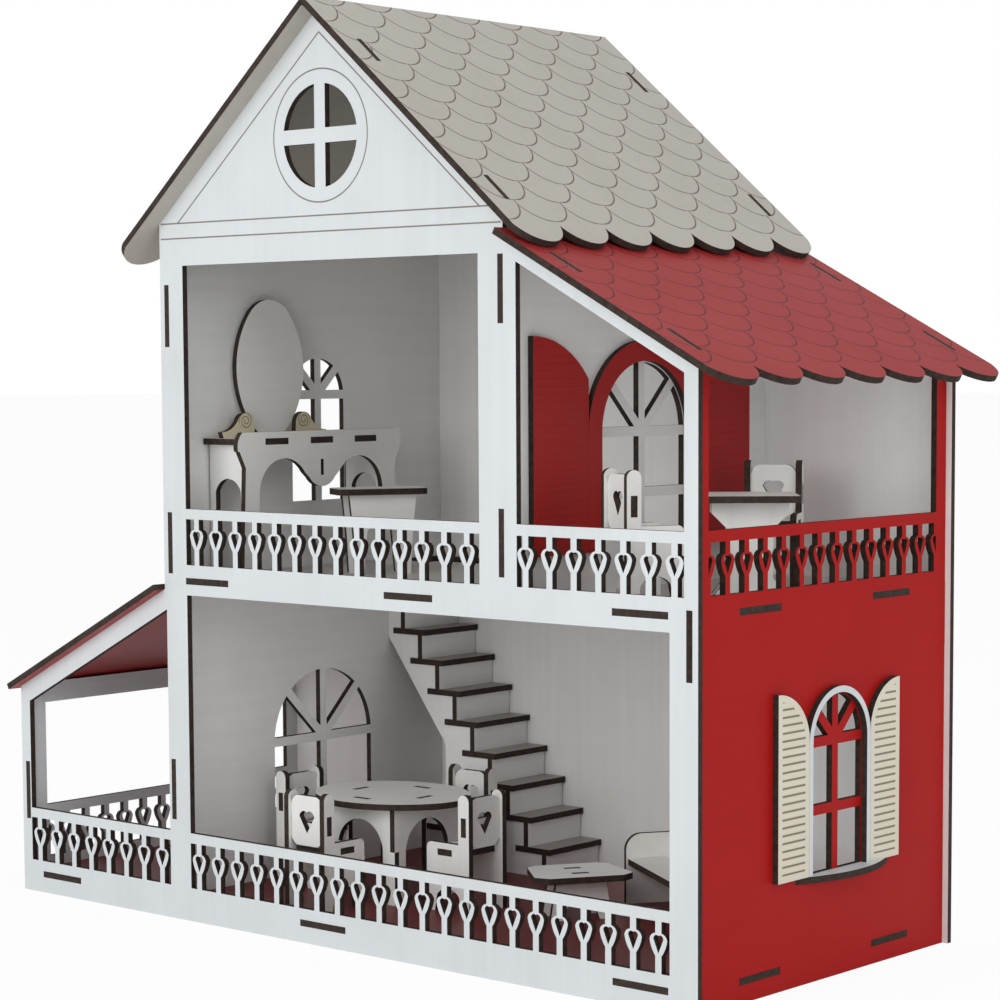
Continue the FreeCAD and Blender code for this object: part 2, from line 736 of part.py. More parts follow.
def box(label, low, high):
    """A plain block between two corners."""
    item = doc.addObject("Part::Box", label)
    for name, axis, near, far in zip(("Length", "Width", "Height"), "xyz", low, high):
        item.setExpression(name, (as_size(far) - near).text)
        item.setExpression("Placement.Base." + axis, as_size(near).text)
    return item


def group(label, members):
    item = doc.addObject("Part::Compound", label)
    item.Label = label
    item.Links = members
    nodes.append(item)
    return item


cut_sheet("stair_stringer_front", "front", stair_y[0] + 1, [stringer_outline()])
cut_sheet("stair_stringer_back", "front", stair_y[1] - board - 1, [stringer_outline()])
treads = []
risers = []
for step in range(1, DRIVING["stair_count"] + 1):
    top = tread_top(step)
    below = tread_top(step - 1) if step > 1 else board
    rear = larger(nose(step) - cell("stair_tread"), left_wall_x + board)
    treads.append(box("Tread", (rear, stair_y[0], top - board),
                      (nose(step), stair_y[1], top)))
    front_x = nose(step) - cell("stair_nose")
    risers.append(box("Riser", (front_x - board, stair_y[0], below),
                      (front_x, stair_y[1], top - board)))
group("stair_treads", treads)
group("stair_risers", risers)

# ---------------------------------------------------------------- loose furniture
# Each piece is drawn about its own middle, standing on z = 0, with its front towards -y.

spots = {}


def chair(name, x, y, floor, angle):
    wide, deep, high = cell("chair_width"), cell("chair_depth"), cell("chair_height")
    post = cell("chair_post")
    seat = cell("chair_seat")
    back, fore = deep / 2, -deep / 2
    arm = seat + board + 3
    back_y = back - post / 2 - board / 2
    inner = wide / 2 - board
    outline = [(fore, as_size(0)), (fore + 5, as_size(0)), (fore + 6.5, as_size(8), as_size(9), -1),
               (back - 6.5, as_size(8)), (back - 5, as_size(0)), (back, as_size(0)),
               (back, high - post / 2, post / 2, 1), (back - post / 2, high, post / 2, 1),
               (back - post, high - post / 2), (back - post, arm), (fore + 3, arm, as_size(3), 1),
               (fore, arm - 3)]
    seat_slot = slot(fore + 7, seat, fore + 16, seat + board)
    back_slot = slot(back_y, arm + 4, back_y + board, arm + 13)
    members = []
    for side in (-1, 1):
        level = wide / 2 * side if side < 0 else wide / 2 - board
        members.append(cut_sheet(name + "_side", "side", level, [outline, seat_slot, back_slot],
                                 node=False))
    pieces = [group(name + "_sides", members)]
    low, top, curve = arm - 2, high - 2, as_size(5)
    rest = [(-inner, low + curve, curve, 1), (-inner + curve, low), (inner - curve, low, curve, 1),
            (inner, low + curve)]
    rest += tabs_along((inner, arm + 4), (0, 1), (1, 0), [(as_size(0), as_size(9))], board)
    rest += [(inner, top - curve, curve, 1), (inner - curve, top), (-inner + curve, top, curve, 1),
             (-inner, top - curve)]
    rest += tabs_along((-inner, arm + 13), (0, -1), (-1, 0), [(as_size(0), as_size(9))], board)
    hole = heart(as_size(0), low + 6, as_size(5), as_size(10))
    pieces.append(cut_sheet(name + "_back", "front", back_y, [rest, hole]))
    near, far = fore + 0.5, back_y - cell("kerf")
    plate = [(-inner, near), (inner, near)]
    plate += tabs_along((inner, fore + 7), (0, 1), (1, 0), [(as_size(0), as_size(9))], board)
    plate += [(inner, far), (-inner, far)]
    plate += tabs_along((-inner, fore + 16), (0, -1), (-1, 0), [(as_size(0), as_size(9))], board)
    pieces.append(cut_sheet(name + "_seat", "flat", seat, [plate]))
    for piece in pieces:
        spots[piece.Label] = (x, y, floor, angle)


def finger_side(half, high, odd):
    """One side of the table's box: an arch below and half-lapped corners."""
    inset = board if odd else as_size(0)
    tongue = board - inset
    mid = high * 0.55
    reach = half * 0.66
    spring = high - reach - 7
    return [(-half + inset, as_size(0)), (-reach, as_size(0)), (-reach, spring, reach, -1),
            (as_size(0), spring + reach, reach, -1), (reach, spring), (reach, as_size(0)),
            (half - inset, as_size(0)), (half - inset, mid), (half - tongue, mid),
            (half - tongue, high), (as_size(5), high), (as_size(5), high + board),
            (as_size(-5), high + board), (as_size(-5), high), (-half + tongue, high),
            (-half + tongue, mid), (-half + inset, mid)]


def place_all(pieces, spot):
    for piece in pieces:
        spots[piece.Label] = spot


def dining_table(x, y, floor, angle):
    half = cell("table_box") / 2
    high = cell("table_height") - board
    gap = cell("kerf") / 2
    fronts = []
    sides = []
    for level in (-half, half - board):
        fronts.append(cut_sheet("Front_side", "front", level, [finger_side(half, high, False)],
                                node=False))
        sides.append(cut_sheet("End_side", "side", level, [finger_side(half - gap, high, True)],
                               node=False))
    long, short = cell("table_long"), cell("table_short")
    top = oval(as_size(0), as_size(0), long, short, as_size(25), False)
    holes = []
    for level in (-half, half - board):
        holes.append(slot(as_size(-5), level, as_size(5), level + board))
        holes.append(slot(level, as_size(-5), level + board, as_size(5)))
    plate = cut_sheet("dining_table_top", "flat", high, [top] + holes)
    place_all([group("dining_table_fronts", fronts), group("dining_table_ends", sides), plate],
              (x, y, floor, angle))


def coffee_table(x, y, floor, angle):
    high = cell("coffee_height") - board
    legs = []
    for level in (as_size(-8), as_size(5)):
        outline = [(as_size(-15), as_size(0)), (as_size(-9), as_size(0)),
                   (as_size(-7), as_size(6), as_size(8), -1), (as_size(7), as_size(6)),
                   (as_size(9), as_size(0)), (as_size(15), as_size(0)), (as_size(12), high),
                   (as_size(4), high), (as_size(4), high + board), (as_size(-4), high + board),
                   (as_size(-4), high), (as_size(-12), high)]
        legs.append(cut_sheet("Leg", "front", level, [outline], node=False))
    top = [(as_size(-24), as_size(-12)), (as_size(-18), as_size(-17)), (as_size(18), as_size(-17)),
           (as_size(24), as_size(-12)), (as_size(20), as_size(14)), (as_size(15), as_size(17)),
           (as_size(-15), as_size(17)), (as_size(-20), as_size(14))]
    holes = [slot(as_size(-4), level, as_size(4), level + board) for level in (-8, 5)]
    place_all([group("coffee_table_legs", legs), cut_sheet("coffee_table_top", "flat", high,
                                                           [top] + holes)], (x, y, floor, angle))


def sofa(x, y, floor, angle):
    half, deep = cell("sofa_length") / 2, cell("sofa_depth")
    fore, rear = -deep / 2, deep / 2
    seat, arm = cell("sofa_seat"), cell("sofa_arm")
    back_y = rear - board * 2
    curve = as_size(8)
    outline = [(fore, as_size(0)), (rear, as_size(0)), (rear, arm - curve, curve, 1),
               (rear - curve, arm), (fore + curve, arm, curve, 1), (fore, arm - curve)]
    holes = [slot(fore + 8, seat, fore + 20, seat + board),
             slot(back_y, seat + 5, back_y + board, seat + 10)]
    arms = []
    for level in (-half, half - board):
        arms.append(cut_sheet("Arm", "side", level, [outline] + holes, node=False))
    inner = half - board
    rest = [(-inner, as_size(3)), (inner, as_size(3))]
    rest += tabs_along((inner, seat + 5), (0, 1), (1, 0), [(as_size(0), as_size(5))], board)
    rest += [(inner, arm - curve, curve, 1), (inner - curve, arm), (-inner + curve, arm, curve, 1),
             (-inner, arm - curve)]
    rest += tabs_along((-inner, seat + 10), (0, -1), (-1, 0), [(as_size(0), as_size(5))], board)
    plate = [(-inner, fore + 1), (inner, fore + 1)]
    plate += tabs_along((inner, fore + 8), (0, 1), (1, 0), [(as_size(0), as_size(12))], board)
    plate += [(inner, back_y), (-inner, back_y)]
    plate += tabs_along((-inner, fore + 20), (0, -1), (-1, 0), [(as_size(0), as_size(12))], board)
    place_all([group("sofa_arms", arms), cut_sheet("sofa_back", "front", back_y, [rest]),
               cut_sheet("sofa_seat", "flat", seat, [plate])], (x, y, floor, angle))


def dressing_table(x, y, floor, angle):
    half = cell("dresser_length") / 2
    deep, high, shelf = cell("dresser_depth"), cell("dresser_height"), cell("dresser_board")
    fore, rear = -deep / 2, deep / 2
    leg, arch = as_size(14), as_size(17)
    foot = shelf - board * 2
    middle = half - leg - arch
    apron = as_size(12)
    join = foot - arch - 4 + root(arch * arch - (middle - apron) * (middle - apron))
    outline = [(-half + 3, as_size(0)), (-half + leg, as_size(0)),
               (-half + leg, foot - arch - 4, arch, -1), (-middle, foot - 4, arch, -1),
               (-apron, join), (-apron + 3, join - 2.5, as_size(11), 1),
               (apron - 3, join - 2.5), (apron, join, arch, -1), (middle, foot - 4, arch, -1),
               (half - leg, foot - arch - 4),
               (half - leg, as_size(0)), (half - 3, as_size(0)),
               (half - 5, foot - 8), (half - 1, foot), (half, foot, as_size(9), 1),
               (half - 3, high), (-half + 3, high, as_size(9), 1), (-half, foot), (-half + 1, foot),
               (-half + 5, foot - 8)]
    tab = as_size(15.4)
    holes = [slot(middle - tab / 2, shelf - board, middle + tab / 2, shelf)
             for middle in (as_size(-31), as_size(0), as_size(31))]
    holes.append(rect(as_size(-1), foot - 13, as_size(1), foot - 5))
    face = cut_sheet("dressing_table_front", "front", fore, [outline] + holes)
    inner = fore + board
    side_loop = [(inner, as_size(0)), (inner + 4, as_size(0)), (inner + 4, foot - 20, (rear - inner) / 2 - 3.5, -1),
                 (rear - 4, foot - 20), (rear - 4, as_size(0)), (rear, as_size(0)),
                 (rear, shelf - board), (inner, shelf - board)]
    ends = [cut_sheet("End", "side", level, [side_loop], node=False)
            for level in (-half + 8, half - 8 - board)]
    spans = [(as_size(middle) + half - 4 - tab / 2, as_size(middle) + half - 4 + tab / 2)
             for middle in (-31, 0, 31)]
    plate = [(-half + 4, inner)]
    plate += tabs_along((-half + 4, inner), (1, 0), (0, -1), spans, board)
    plate += [(half - 4, inner), (half - 4, rear), (-half + 4, rear)]
    mirror_y = rear - 5.5
    mirror_x = as_size(-12.5)
    top = cut_sheet("dressing_table_top", "flat", shelf - board, [plate])
    glass = cut_sheet("dressing_mirror", "front", mirror_y,
                      [oval(mirror_x, shelf + cell("mirror_rise"), cell("mirror_rise"),
                            cell("mirror_half"), as_size(17), True)])
    scrolls = []
    for side in (-1, 1):
        foot = mirror_x + 20 * side
        near = [(foot - 6 * side, shelf), (foot + 15 * side, shelf),
                (foot + 16 * side, shelf + 3, as_size(13), -1),
                (foot + 5.3 * side, shelf + 8.5, as_size(5.6), 1), (foot - 5.5 * side, shelf + 7.5)]
        if side < 0:
            near = [near[0], near[4], near[3][:2], near[2], near[1]]
            near = [near[0], near[1] + (as_size(5.6), 1), near[2][:2] + (as_size(13), -1),
                    near[3][:2], near[4]]
        scrolls.append(cut_sheet("Scroll", "front", mirror_y - board, [near], node=False))
    place_all([face, group("dressing_table_ends", ends), top, glass,
               group("dressing_mirror_scrolls", scrolls)], (x, y, floor, angle))


def stool(x, y, floor, angle):
    half, deep, high = cell("stool_long") / 2, cell("stool_wide") / 2, cell("stool_height") - board
    legs = []
    for level in (-deep + 4, deep - 4 - board):
        outline = [(-half + 9, as_size(0)), (-half + 13, as_size(0)),
                   (-half + 15, high * 0.55, as_size(12), -1), (half - 15, high * 0.55),
                   (half - 13, as_size(0)), (half - 9, as_size(0)), (half - 8, high * 0.5),
                   (half - 6, high), (-half + 6, high), (-half + 8, high * 0.5)]
        legs.append(cut_sheet("Leg", "front", level, [outline], node=False))
    curve = as_size(6)
    top = [(-half, -deep + curve, curve, 1), (-half + curve, -deep), (half - curve, -deep, curve, 1),
           (half, -deep + curve), (half, deep - curve, curve, 1), (half - curve, deep),
           (-half + curve, deep, curve, 1), (-half, deep - curve)]
    place_all([group("stool_legs", legs), cut_sheet("stool_top", "flat", high, [top])],
              (x, y, floor, angle))


def corner_table(x, y, floor, angle):
    half, high = cell("corner_table") / 2, cell("corner_table_height") - board
    legs = []
    for level in (as_size(-9), as_size(6)):
        outline = [(as_size(-16), as_size(0)), (as_size(16), as_size(0)), (as_size(10), as_size(8)),
                   (as_size(10), high - 12), (as_size(17), high - 5), (as_size(17), high),
                   (as_size(-17), high), (as_size(-17), high - 5), (as_size(-10), high - 12),
                   (as_size(-10), as_size(8))]
        legs.append(cut_sheet("Leg", "front", level, [outline], node=False))
    top = cut_sheet("terrace_table_top", "flat", high, [rect(-half, -half, half, half)])
    place_all([group("terrace_table_legs", legs), top], (x, y, floor, angle))


lift = cell("rest_gap") * 0
lower, higher = board + lift, upper_top + lift
dining_table(as_size(-243.5), as_size(74), lower, 0)
chair("dining_chair_front", as_size(-246), as_size(29), lower, 180)
chair("dining_chair_back", as_size(-240), as_size(119), lower, 0)
chair("dining_chair_left", as_size(-293), as_size(69), lower, 90)
chair("dining_chair_right", as_size(-191), as_size(70), lower, -90)
coffee_table(as_size(-138), as_size(88), lower, 57)
sofa(as_size(-100), as_size(122), lower, -33)
dressing_table(left_wall_x + board + 15.3, as_size(73.5), higher, 90)
stool(as_size(-257), as_size(80), higher, 60)
corner_table(as_size(-40), as_size(90), higher, 40)
chair("terrace_chair_front", as_size(-58), as_size(37), higher, 153)
chair("terrace_chair_back", as_size(-66), as_size(143), higher, 28)

# ---------------------------------------------------------------- places in the finished frame

porch_tip = veranda_left - cell("veranda_eave") * turn("cos", cell("veranda_pitch"))
porch_tip = porch_tip - board * turn("sin", cell("veranda_pitch"))
eave_tip = (cell("lean_eave") + cell("scallop_drop")) * turn("cos", cell("lean_pitch"))
eave_tip = eave_tip + board * turn("sin", cell("lean_pitch"))
shift = (-(porch_tip + eave_tip) / 2, -total_depth / 2, cell("skirt"))

for node in nodes:
    spot = spots.get(node.Label)
    seat = seats.get(node.Label)
    if spot:
        node.Placement = FreeCAD.Placement(Vector(0, 0, 0), FreeCAD.Rotation(Vector(0, 0, 1), spot[3]))
        base = spot[:3]
    elif seat:
        base = seat
        node.setExpression("Placement.Rotation.Angle", tilts[node.Label][0].text)
    else:
        base = (as_size(0), as_size(0), as_size(0))
    for axis, place, move in zip("xyz", base, shift):
        node.setExpression("Placement.Base." + axis, (place + move).text)

doc.recompute()

faults = []
for item in doc.Objects:
    if "Invalid" in item.State or "Error" in item.State:
        faults.append(item.Name + " of " + item.Label)
for node in nodes:
    if node.Shape.isNull() or not node.Shape.isValid():
        faults.append(node.Label + " has no valid shape")
if faults:
    raise RuntimeError("; ".join(faults))

os.makedirs("parts", exist_ok=True)
for node in nodes:
    node.Shape.exportStep("parts/" + node.Label + ".step")
    extent = node.Shape.BoundBox
    print(node.Label, len(node.Shape.Solids), "solids", round(node.Shape.Volume), "mm3",
          [round(value, 1) for value in (extent.XMin, extent.YMin, extent.ZMin,
                                         extent.XMax, extent.YMax, extent.ZMax)])
print(len(nodes), "nodes")
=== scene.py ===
# %% [markdown]
# # A wooden dollhouse, painted board by board
#
# The house is a kit of thin boards that slot together. Each board is painted on its two broad
# faces, and its cut edges are burnt almost black by the cutter. The measured model already has
# every board in its place, so this lesson is mostly about finishes: paint, burnt edges, engraved
# shingles and louvres. Then come the lamps and the camera.

# %% Load the measured model
import math

import bmesh
import bpy
from mathutils import Matrix, Vector


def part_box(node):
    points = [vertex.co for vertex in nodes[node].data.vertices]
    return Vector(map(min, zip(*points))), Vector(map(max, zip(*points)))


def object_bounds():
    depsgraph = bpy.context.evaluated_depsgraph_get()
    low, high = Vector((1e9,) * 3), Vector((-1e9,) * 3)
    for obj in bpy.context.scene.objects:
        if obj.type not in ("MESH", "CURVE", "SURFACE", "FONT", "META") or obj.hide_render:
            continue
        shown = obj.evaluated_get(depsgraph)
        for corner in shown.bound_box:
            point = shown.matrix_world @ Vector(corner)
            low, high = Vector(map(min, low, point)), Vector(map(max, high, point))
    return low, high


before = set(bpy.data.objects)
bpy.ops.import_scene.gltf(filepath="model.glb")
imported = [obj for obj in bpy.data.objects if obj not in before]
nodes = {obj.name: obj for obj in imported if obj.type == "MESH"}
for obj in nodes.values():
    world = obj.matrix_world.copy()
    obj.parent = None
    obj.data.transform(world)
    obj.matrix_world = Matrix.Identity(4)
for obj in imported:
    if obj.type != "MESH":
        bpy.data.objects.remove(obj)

cad_low, cad_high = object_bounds()
print("house from", tuple(round(v, 4) for v in cad_low), "to", tuple(round(v, 4) for v in cad_high))

# %% [markdown]
# ## Sums with shader sockets
#
# A shader node tree can work out patterns such as shingles, but wiring dozens of Math nodes by
# hand is hard to read. A small wrapper round a socket lets us write the sum as we would on
# paper. Each operator adds one Math node and hands back its output, ready for the next operator.

# %% A socket that understands plus, minus and times


class Wire:
    """The output of a shader node, which can be used in sums."""

    def __init__(self, tree, socket):
        self.tree = tree
        self.socket = socket

    def maths(self, operation, *others, clamp=False):
        node = self.tree.nodes.new("ShaderNodeMath")
        node.operation = operation
        node.use_clamp = clamp
        for place, value in enumerate((self,) + others):
            put(self.tree, node.inputs[place], value)
        return Wire(self.tree, node.outputs[0])

    def __add__(self, other):
        return self.maths("ADD", other)

    def __radd__(self, other):
        return self.maths("ADD", other)

    def __sub__(self, other):
        return self.maths("SUBTRACT", other)

    def __rsub__(self, other):
        return self.maths("MULTIPLY", -1.0).maths("ADD", other)

    def __mul__(self, other):
        return self.maths("MULTIPLY", other)

    def __rmul__(self, other):
        return self.maths("MULTIPLY", other)

    def __truediv__(self, other):
        return self.maths("DIVIDE", other)

    def size(self):
        return self.maths("ABSOLUTE")

    def whole(self):
        return self.maths("FLOOR")

    def part(self):
        return self.maths("FRACT")

    def root(self):
        return self.maths("SQRT")

    def above(self, limit):
        return self.maths("GREATER_THAN", limit)

    def below(self, limit):
        return self.maths("LESS_THAN", limit)

    def clamped(self):
        return self.maths("ADD", 0.0, clamp=True)


def put(tree, socket, value):
    """Link a wire into a socket, or set the socket to a plain value."""
    if isinstance(value, Wire):
        tree.links.new(value.socket, socket)
    else:
        socket.default_value = value


print("sockets can be added and multiplied")

# %% [markdown]
# ## One method for every other node
#
# Noise, mixes and bumps are made by one method. It takes the node's type, its settings, which
# must be set before its sockets exist, and then the values or wires of its sockets by name.

# %% A bench for building one finish


class Bench:
    """A new material and its nodes."""

    def __init__(self, name):
        self.material = bpy.data.materials.new(name)
        self.material.use_nodes = True
        self.tree = self.material.node_tree
        self.tree.nodes.clear()

    def add(self, kind, settings=None, output=0, **sockets):
        node = self.tree.nodes.new("ShaderNode" + kind)
        for key, value in (settings or {}).items():
            setattr(node, key, value)
        for key, value in sockets.items():
            place = int(key[1:]) if key[0] == "n" and key[1:].isdigit() else key.replace("_", " ")
            put(self.tree, node.inputs[place], value)
        return Wire(self.tree, node.outputs[output])

    def place(self):
        """The point on the surface, in the object's own metres: x, y and z as three wires."""
        point = self.add("TexCoord", output="Object")
        split = self.add("SeparateXYZ", Vector=point)
        wires = [Wire(self.tree, split.socket.node.outputs[axis]) for axis in range(3)]
        return point, wires

    def mix(self, factor, first, second):
        """Blend two colours; the factor is a wire or a number."""
        settings = {"data_type": "RGBA"}
        return self.add("Mix", settings, output=2, n0=factor, n6=first, n7=second)

    def facing(self, direction):
        """1 on surfaces that look along this direction or against it, 0 on the rest."""
        flat = self.add("NewGeometry", output="True Normal")
        dot = self.add("VectorMath", {"operation": "DOT_PRODUCT"}, output="Value",
                       n0=flat, n1=tuple(direction))
        return dot.size().above(0.9)

    def looking(self, direction):
        """1 only on surfaces that look along this direction."""
        flat = self.add("NewGeometry", output="True Normal")
        dot = self.add("VectorMath", {"operation": "DOT_PRODUCT"}, output="Value",
                       n0=flat, n1=tuple(direction))
        return dot.above(0.9)

    def finish(self, colour, roughness, height=None, strength=0.3, gloss=0.3):
        shader = self.tree.nodes.new("ShaderNodeBsdfPrincipled")
        put(self.tree, shader.inputs["Base Color"], colour)
        put(self.tree, shader.inputs["Roughness"], roughness)
        shader.inputs["Specular IOR Level"].default_value = gloss
        if height is not None:
            bump = self.add("Bump", Strength=strength, Distance=0.0004, Height=height)
            put(self.tree, shader.inputs["Normal"], bump)
        end = self.tree.nodes.new("ShaderNodeOutputMaterial")
        self.tree.links.new(shader.outputs[0], end.inputs["Surface"])
        return self.material


print("the bench is ready")

# %% [markdown]
# ## Which way does a board face?
#
# The cutter burns the edges of a board but not its broad faces. To paint them apart, the
# material has to know which way the board faces. We can measure that: the direction that most
# of a board's area looks along is the direction through its thickness. Of its two senses
# we keep the one that looks out of the house, or up, so that inside and outside can differ.

# %% Measure the direction through each board


def across(obj):
    """The direction through a board's thickness, from the area of its faces."""
    areas = {}
    for face in obj.data.polygons:
        normal = face.normal
        key = tuple(round(abs(value), 1) for value in normal)
        total, sum_normal = areas.get(key, (0.0, Vector()))
        if sum_normal.dot(normal) < 0:
            normal = -normal
        areas[key] = (total + face.area, sum_normal + normal * face.area)
    best = max(areas.values(), key=lambda item: item[0])
    direction = best[1].normalized()
    middle = sum((Vector(corner) for corner in obj.bound_box), Vector()) / 8
    outward = direction.dot(middle - (cad_low + cad_high) / 2)
    if direction.z > 0.3 or direction.z < -0.3:
        outward = direction.z
    return -direction if outward < 0 else direction


through = {name: across(obj) for name, obj in nodes.items()}
for name in ("front_panel", "right_wall", "lean_roof", "stool_legs"):
    print(name, "is cut through along", tuple(round(value, 3) for value in through[name]))

# %% [markdown]
# ## Paint on thin board
#
# The paint is thin and rolled on, so the wood's grain shows faintly through it as long shallow
# streaks, and the colour is never perfectly even. Two noises do this: a broad one mottles the
# colour, and a long stretched one makes the grain, which also feeds the bump. The burnt edge
# has its own dark brown with darker and lighter char in it.

# %% The colours, as paint on a chip
WHITE = (0.66, 0.69, 0.70, 1)
# The inside white is the front's white paint made lighter: painted light for the rooms.
INSIDE_WHITE_PAINTED_LIGHT = (0.86, 0.855, 0.84, 1)
RED = (0.40, 0.009, 0.008, 1)
SHINGLE_GREY = (0.46, 0.435, 0.385, 1)
SHINGLE_RED = (0.34, 0.022, 0.022, 1)
FLOOR_RED = (0.16, 0.018, 0.018, 1)
FLOOR_PALE = (0.60, 0.57, 0.55, 1)
FURNITURE = (0.82, 0.81, 0.78, 1)
CREAM = (0.72, 0.68, 0.55, 1)
BEIGE = (0.72, 0.65, 0.47, 1)
# The tread grey is the pale stair paint darkened: painted shade on the tread tops.
TREAD_GREY_PAINTED_SHADE = (0.36, 0.33, 0.31, 1)
CHAR = (0.020, 0.013, 0.010, 1)
CHAR_LIGHT = (0.065, 0.042, 0.032, 1)
print("twelve colours on the chip")

# %% Paint with a burnt edge


def grain_axis(direction):
    """Stretch of the grain: long along the board's longer side, fine across it."""
    if abs(direction.z) > 0.6:
        return (9.0, 220.0, 220.0)
    return (220.0, 220.0, 9.0) if abs(direction.y) > 0.6 else (220.0, 9.0, 220.0)


def painted(name, direction, colour, marks=None, back=None, seed=0.0, shine=0.42, gloss=0.3,
            both=False):
    """A painted board. marks(bench, x, y, z) gives engraved lines as a wire from 0 to 1."""
    bench = Bench(name)
    point, (x, y, z) = bench.place()
    broad = bench.add("TexNoise", Vector=point, Scale=14.0 + seed, Detail=3.0, Roughness=0.6)
    moved = bench.add("VectorMath", {"operation": "MULTIPLY"}, n0=point,
                      n1=grain_axis(direction))
    grain = bench.add("TexNoise", Vector=moved, Scale=1.0, Detail=4.0, Roughness=0.55)
    face = bench.facing(direction)
    if back is not None:
        colour = bench.mix(bench.looking(direction), back, colour)
    deep = bench.mix(1.0, colour, (0.80, 0.78, 0.76, 1))
    deep.socket.node.blend_type = "MULTIPLY"
    tone = ((broad - 0.35) * 0.9 + (grain - 0.5) * 0.5).clamped()
    paint = bench.mix(tone, colour, deep)
    height = grain * 0.5
    if marks is not None:
        line = marks(bench, x, y, z) * (face if both else bench.looking(direction))
        scorched = bench.mix(1.0, paint, (0.30, 0.25, 0.21, 1))
        scorched.socket.node.blend_type = "MULTIPLY"
        paint = bench.mix(line, paint, scorched)
        height = height - line * 4.0
    speck = bench.add("TexNoise", Vector=point, Scale=420.0, Detail=2.0)
    char = bench.mix((speck * 1.4 - 0.35).clamped(), CHAR, CHAR_LIGHT)
    finish = bench.mix(face, char, paint)
    rough = face * (shine - 0.8) + 0.8 + (broad - 0.5) * 0.12
    return bench.finish(finish, rough, height, strength=0.25, gloss=gloss)


def dress(name, material):
    """Give a board its finish."""
    obj = nodes[name]
    for place in range(max(1, len(obj.material_slots))):
        if place < len(obj.material_slots):
            obj.material_slots[place].material = material
        else:
            obj.data.materials.append(material)


print("boards can be painted")

# %% [markdown]
# ## Engraved shingles
#
# The roof boards are not covered with loose shingles: the cutter draws them with a thin
# scorched line. A row of scales repeats from front to back, and every other row is moved by
# half a scale. For each point we find the row it is in, then its place inside one scale, and
# ask how far it is from that scale's rounded lower edge. Near enough means it is on the line.

# %% A pattern of scales that runs down a slope
SHINGLE_ROW = 0.0142
SCALLOP_DROP = 0.0115
SCALLOPS = 7
LINE = 0.00034


def scales(name):
    """Marks for one roof board: the scales line up with its cut eave."""
    obj = nodes[name]
    normal = through[name]
    down = Vector((normal.z, 0, -normal.x)) if normal.x > 0 else Vector((-normal.z, 0, normal.x))
    tip = max(vertex.co.dot(down) for vertex in obj.data.vertices)
    low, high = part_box(name)
    pitch = (high.y - low.y) / SCALLOPS
    radius = ((pitch / 2) ** 2 + SCALLOP_DROP ** 2) / (2 * SCALLOP_DROP)
    print(name, "has scales", round(pitch * 1000, 1), "mm wide with a radius of",
          round(radius * 1000, 1), "mm")

    def marks(bench, x, y, z):
        reach = x * down.x + z * down.z
        rows = (tip - reach) / SHINGLE_ROW
        row = rows.whole()
        rise = (rows - row) * SHINGLE_ROW
        side = ((y - low.y) / pitch + row * 0.5).part() - 0.5
        side = side * pitch
        centre = rise - radius
        ring = ((side * side + centre * centre).root() - radius).size()
        straight = pitch / 2 - side.size()
        low_part = rise.below(SCALLOP_DROP)
        gap = ring * low_part + straight * (1 - low_part)
        inside = rows.above(0.98)
        return ((LINE * 1.5 - gap) / (LINE * 0.9)).clamped() * inside

    return marks


# %% [markdown]
# ## The panels and walls
#
# The front wears a cool white. Its gable has a few engraved lines: a ring round the window,
# two level lines like a string course, and lines that follow the slopes. The right wall is a
# strong red outside and pale inside, so it is given two colours, one for each broad face.

# %% Engraved lines on the gable
front_low, front_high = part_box("front_panel")
peak = max((vertex.co for vertex in nodes["front_panel"].data.vertices), key=lambda co: co.z)
PITCH = math.radians(40.4)
gable_x = peak.x
wall_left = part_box("left_wall")[0].x - 0.003
wall_right = 2 * gable_x - wall_left
window_z = peak.z - 0.0576
print("the gable's middle is at x =", round(gable_x, 4), "and its window at z =", round(window_z, 4))


def near(distance, width=LINE):
    """A line where a distance is about nothing."""
    return ((width * 1.4 - distance.size()) / (width * 0.9)).clamped()


def gable_lines(bench, x, y, z):
    across_x = x - gable_x
    across_z = z - window_z
    ring = near((across_x * across_x + across_z * across_z).root() - 0.0300)
    within = (across_x.size() - (wall_right - wall_left) / 2 + 0.001).below(0)
    level = near(z - (peak.z - 0.0936)) + near(z - (peak.z - 0.1008))
    slope = (across_x.size() * math.sin(PITCH) + (z - peak.z) * math.cos(PITCH)) + 0.0085
    slant = near(slope) * (z - (peak.z - 0.0936)).above(0)
    return (ring + level * within + slant).clamped()


dress("front_panel", painted("Cool white paint", through["front_panel"], WHITE, gable_lines))
dress("veranda_side", painted("White veranda paint", through["veranda_side"], WHITE, seed=1))

# %% The plain boards inside and the red wall; their inside white is lightened, painted light for the rooms
for name, seed in (("back_panel", 2), ("left_wall", 3), ("terrace_wall", 4)):
    dress(name, painted("Pale paint with painted light on " + name, through[name], INSIDE_WHITE_PAINTED_LIGHT, seed=seed))
dress("right_wall", painted("Red paint", through["right_wall"], RED, back=INSIDE_WHITE_PAINTED_LIGHT, seed=5,
                            gloss=0.1))
dress("ground_floor", painted("Dark red floor", through["ground_floor"], FLOOR_RED, seed=6))
# The first floor's underside takes the lightened inside white, painted light.
dress("first_floor", painted("Pale floor", through["first_floor"], FLOOR_PALE, back=INSIDE_WHITE_PAINTED_LIGHT, seed=7))
print("floors and walls are painted")

# %% The roofs
for name in ("main_roof_left", "main_roof_right"):
    dress(name, painted("Grey shingles on " + name, through[name], SHINGLE_GREY, scales(name),
                        back=SHINGLE_GREY, shine=0.55))
# The lean roof's underside takes the lightened inside white, painted light.
dress("lean_roof", painted("Red shingles", through["lean_roof"], SHINGLE_RED, scales("lean_roof"),
                           back=INSIDE_WHITE_PAINTED_LIGHT, shine=0.5, gloss=0.25))
dress("veranda_roof", painted("Red veranda roof", through["veranda_roof"], SHINGLE_RED, seed=8))

# %% [markdown]
# ## Windows and shutters
#
# The side window has a white frame and cream shutters whose louvres are scorched lines, one
# every three or four millimetres, stopping short of a plain border. The terrace window has red
# shutters with much fainter lines. Both can use the same marks with different numbers.

# %% Louvre lines


